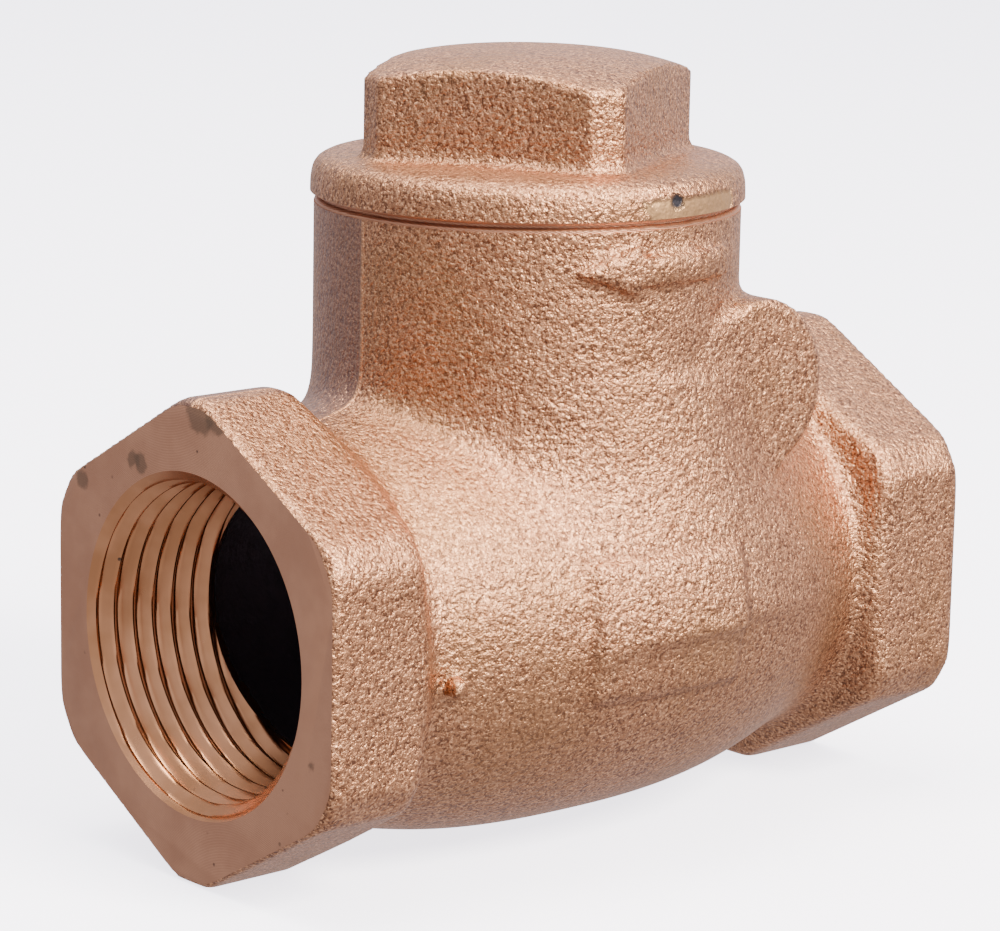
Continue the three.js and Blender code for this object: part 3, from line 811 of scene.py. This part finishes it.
def machined(name, first, second, roughness, axis=None, pitch=0.12, stains=()):
    """Turned metal; axis names the turning axis, for the rings that the tool leaves."""
    made, tree, shader = new_material(name)
    where = object_position(tree)
    spots = noise(tree, where, 900.0, 3.0)
    wide = noise(tree, where, 160.0, 3.0)
    tone = mix(tree, wide.step(0.35, 0.65), first, second)
    pores = cells(tree, where, 620.0)
    open_pore = pores.step(0.13, 0.07) * noise(tree, where, 240.0, 2.0).step(0.5, 0.6)
    tone = mix(tree, open_pore, tone, (0.08, 0.05, 0.035))
    ragged = noise(tree, where, 1100.0, 3.0)
    for stain in stains:
        edge = away_from(tree, where, stain[:3]) + 1.2 * ragged
        patch = edge.step(stain[3] + 0.7, stain[3] + 0.2)
        tone = mix(tree, patch * 0.7, tone, STAIN_TONE)
    plug(tree, shader.inputs["Base Color"], tone)
    shader.inputs["Metallic"].default_value = 1.0
    plug(tree, shader.inputs["Roughness"], roughness + 0.12 * spots)
    height = 0.25 * spots - open_pore
    if axis == "X":
        _, y, z = split(where)
        ring = radius(y, z - FLOW_HEIGHT * MM)
        height = height + (ring * (2 * math.pi / (pitch * MM))).math("SINE") * 0.5
    plug(tree, shader.inputs["Normal"], bump(tree, height, 0.00002, 0.6))
    return made


def shaded_interior(name):
    """The inside of the casting, near-black: painted shade for the dark deep in the chamber, on its
    unblasted skin.
    """
    made, tree, shader = new_material(name)
    where = object_position(tree)
    skin = noise(tree, where, 700.0, 3.0)
    tone = mix(tree, skin, (0.018, 0.011, 0.016), (0.045, 0.027, 0.033))
    plug(tree, shader.inputs["Base Color"], tone)
    plug(tree, shader.inputs["Roughness"], 0.75 + 0.2 * skin)
    plug(tree, shader.inputs["Normal"], bump(tree, skin, 0.0002, 0.8))
    return made


def white_plastic(name):
    made, tree, shader = new_material(name)
    where = object_position(tree)
    mottle = noise(tree, where, 500.0, 3.0)
    tone = mix(tree, mottle, (0.86, 0.85, 0.82), (0.92, 0.91, 0.89))
    plug(tree, shader.inputs["Base Color"], tone)
    plug(tree, shader.inputs["Roughness"], 0.4 + 0.15 * mottle)
    plug(tree, shader.inputs["Normal"], bump(tree, mottle, 0.00002, 0.5))
    return made


body_cast = blasted_bronze("body_blasted_bronze", 0.0, body_marks)
cap_cast = blasted_bronze("cap_blasted_bronze", 31.0, cap_marks)
hanger_cast = blasted_bronze("hanger_bronze", 57.0)
# The inside of the casting is near-black: painted shade.
interior_shade = shaded_interior("chamber_skin")
faced = machined(
    "faced_bronze", (0.56, 0.29, 0.17), (0.48, 0.24, 0.14), 0.42, "X", stains=STAINS
)
threads = machined("threaded_bronze", (0.62, 0.30, 0.15), (0.48, 0.22, 0.10), 0.24)
brass = machined("turned_brass", (0.72, 0.50, 0.25), (0.64, 0.45, 0.23), 0.24)
steel = machined("ground_steel", (0.62, 0.62, 0.63), (0.55, 0.55, 0.57), 0.25)
ptfe = white_plastic("white_ptfe")


# %% Give each face its material
def paint(piece, materials, choose=None):
    """Sets a piece's materials; choose gives a material number for each face centre in mm."""
    piece.data.materials.clear()
    for material in materials:
        piece.data.materials.append(material)
    count = len(piece.data.polygons)
    numbers = np.zeros(count, np.int32)
    if choose is not None:
        centres = np.zeros(count * 3, np.float32)
        piece.data.polygons.foreach_get("center", centres)
        centres = centres.reshape(-1, 3) / MM - (0, 0, FLOW_HEIGHT)
        numbers = choose(centres).astype(np.int32)
    piece.data.polygons.foreach_set("material_index", numbers)
    piece.data.set_sharp_from_angle(angle=math.radians(35))


def body_zones(centre):
    """0 cast, 1 faced, 2 threaded, 3 inside, near-black as painted shade."""
    x, y, z = centre.T
    away = np.hypot(y, z)
    face = np.abs(x) > HALF_LENGTH - 0.01
    port = (np.abs(x) > 19.5) & (away < 13.6) & ~face
    top = (z > RIM_FROM - 0.01) & (np.hypot(x, y) < 17.2)
    neck_thread = (np.hypot(x, y) < 14.9) & (z > 22.5) & (z < NECK_TOP - 0.01)
    along, across = np.abs(x - BARREL_MIDDLE) / 25.6, np.hypot(y / 18.8, z / 16.0)
    in_chamber = along ** FULLNESS + across ** FULLNESS < 1
    in_neck = (np.hypot(x, y) < 14.4) & (z > 6) & (z < NECK_TOP - 0.01)
    zone = np.where(in_chamber | in_neck, 3, 0)
    zone = np.where(port | neck_thread, 2, zone)
    return np.where(face | (top & ~neck_thread), 1, zone)


def cap_zones(centre):
    """0 cast, 1 faced, 2 threaded."""
    x, y, z = centre.T
    away = np.hypot(x, y)
    turned_edge = (z < FLANGE_EDGE + 0.26) & (away > 16.4)
    under = (z < NECK_TOP + 0.01) & (away > 13.8)
    return np.where(under | turned_edge, 1, np.where(z < NECK_TOP, 2, 0))


paint(casting, [body_cast, faced, threads, interior_shade], body_zones)
paint(cap, [cap_cast, faced, threads], cap_zones)
for piece, material in (
    (pin, steel), (plug_piece, brass), (holder, brass), (ptfe_disc, ptfe), (seat_washer, brass),
    (hanger_washer, brass), (seat_nut, brass), (hanger_nut, brass),
):
    paint(piece, [material])
hanger = frame["nodes"]["disc_hanger"]
hanger.data.materials.clear()
hanger.data.materials.append(hanger_cast)

# %% [markdown]
# ## Each piece rides on its CAD body
#
# Every piece stands for one CAD node and follows that node's body, so the joints found in the CAD
# part move the looks too.

# %% Attach the pieces
for piece, body, stands_for, slot in (
    (casting, "casing", "valve_body", "body_bronze"),
    (cap, "casing", "cap", "cap_bronze"),
    (pin, "casing", "hinge_pin", "pin_steel"),
    (plug_piece, "casing", "hinge_pin_plug", "turned_brass"),
    (holder, "disc", "disc_holder", "turned_brass"),
    (ptfe_disc, "disc", "seat_disc", "ptfe"),
    (seat_washer, "disc", "seat_disc_washer", "turned_brass"),
    (seat_nut, "disc", "seat_disc_nut", "turned_brass"),
    (hanger_washer, "disc", "hanger_washer", "turned_brass"),
    (hanger_nut, "disc", "hanger_nut", "turned_brass"),
):
    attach(piece, body)
    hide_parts(stands_for)

# %% [markdown]
# ## Table, light and camera
#
# A pale table in bright, soft light from above and from the right. The camera looks from the outlet
# side, a little above.

# %% Table and lights
def pale_table(name):
    """White card that is lit so evenly that it seems to glow."""
    made, tree, shader = new_material(name)
    shader.inputs["Base Color"].default_value = (0.86, 0.85, 0.90, 1.0)
    shader.inputs["Roughness"].default_value = 0.9
    shader.inputs["Emission Color"].default_value = (0.93, 0.90, 1.0, 1.0)
    shader.inputs["Emission Strength"].default_value = 3.0
    return made


REACH = 4.0
CORNERS = [(-REACH, -REACH, 0), (REACH, -REACH, 0), (REACH, REACH, 0), (-REACH, REACH, 0)]
floor_mesh = bpy.data.meshes.new("table")
floor_mesh.from_pydata(CORNERS, [], [(0, 1, 2, 3)])
floor = bpy.data.objects.new("table", floor_mesh)
bpy.context.scene.collection.objects.link(floor)
floor_mesh.materials.append(pale_table("pale_table"))
floor.visible_glossy = False

BELOW, ABOVE, DARK_SIDE = (0.64, 0.61, 0.66), (0.95, 0.97, 1.12), (0.20, 0.20, 0.25)
BRIGHT_SIDE = (0.749, -0.662)
world = bpy.data.worlds.new("studio")
bpy.context.scene.world = world
world.use_nodes = True
sky = world.node_tree
towards = node(sky, "ShaderNodeTexCoord")
east, north, up = split(towards)
# Brighter above than below, and darker on the side away from the window.
rightward = east * BRIGHT_SIDE[0] + north * BRIGHT_SIDE[1]
backdrop = mix(sky, up.step(-0.2, 0.15), BELOW, ABOVE)
backdrop = mix(sky, rightward.step(0.5, -0.7) * 0.42, backdrop, DARK_SIDE)
plug(sky, sky.nodes["Background"].inputs["Color"], backdrop)
sky.nodes["Background"].inputs["Strength"].default_value = 1.35


def lamp(name, where, power, size, tint=(1.0, 1.0, 1.0)):
    """A square soft lamp at a point in metres, aimed at the valve."""
    data = bpy.data.lights.new(name, "AREA")
    data.energy = power
    data.size = size
    data.color = tint
    made = bpy.data.objects.new(name, data)
    bpy.context.scene.collection.objects.link(made)
    made.location = where
    aim = Vector((0, 0, 0.03)) - Vector(where)
    made.rotation_euler = aim.to_track_quat("-Z", "Y").to_euler()
    return made


lamp("key", (0.08, -0.55, 0.45), 15.0, 0.25, (1.0, 0.93, 0.83))
lamp("top", (-0.1, 0.1, 0.8), 10.5, 0.5, (1.0, 0.95, 0.88))

# %% Camera
LENS = 140.72
CAMERA_AT = (-206.54, -229.18, 75.55)
CAMERA_RIGHT = (0.749188, -0.662102, 0.018394)
CAMERA_DOWN = (-0.124667, -0.168228, -0.977833)
CAMERA_FORWARD = (0.65052, 0.730287, -0.208577)
camera_data = bpy.data.cameras.new("camera")
camera_data.lens = LENS
camera_data.sensor_width = 36.0
camera_data.clip_start, camera_data.clip_end = 0.01, 20.0
camera = bpy.data.objects.new("camera", camera_data)
bpy.context.scene.collection.objects.link(camera)
axes = Matrix((CAMERA_RIGHT, [-v for v in CAMERA_DOWN], [-v for v in CAMERA_FORWARD])).transposed()
camera.matrix_world = Matrix.Translation(Vector(lift(CAMERA_AT))) @ axes.to_4x4()
bpy.context.scene.camera = camera
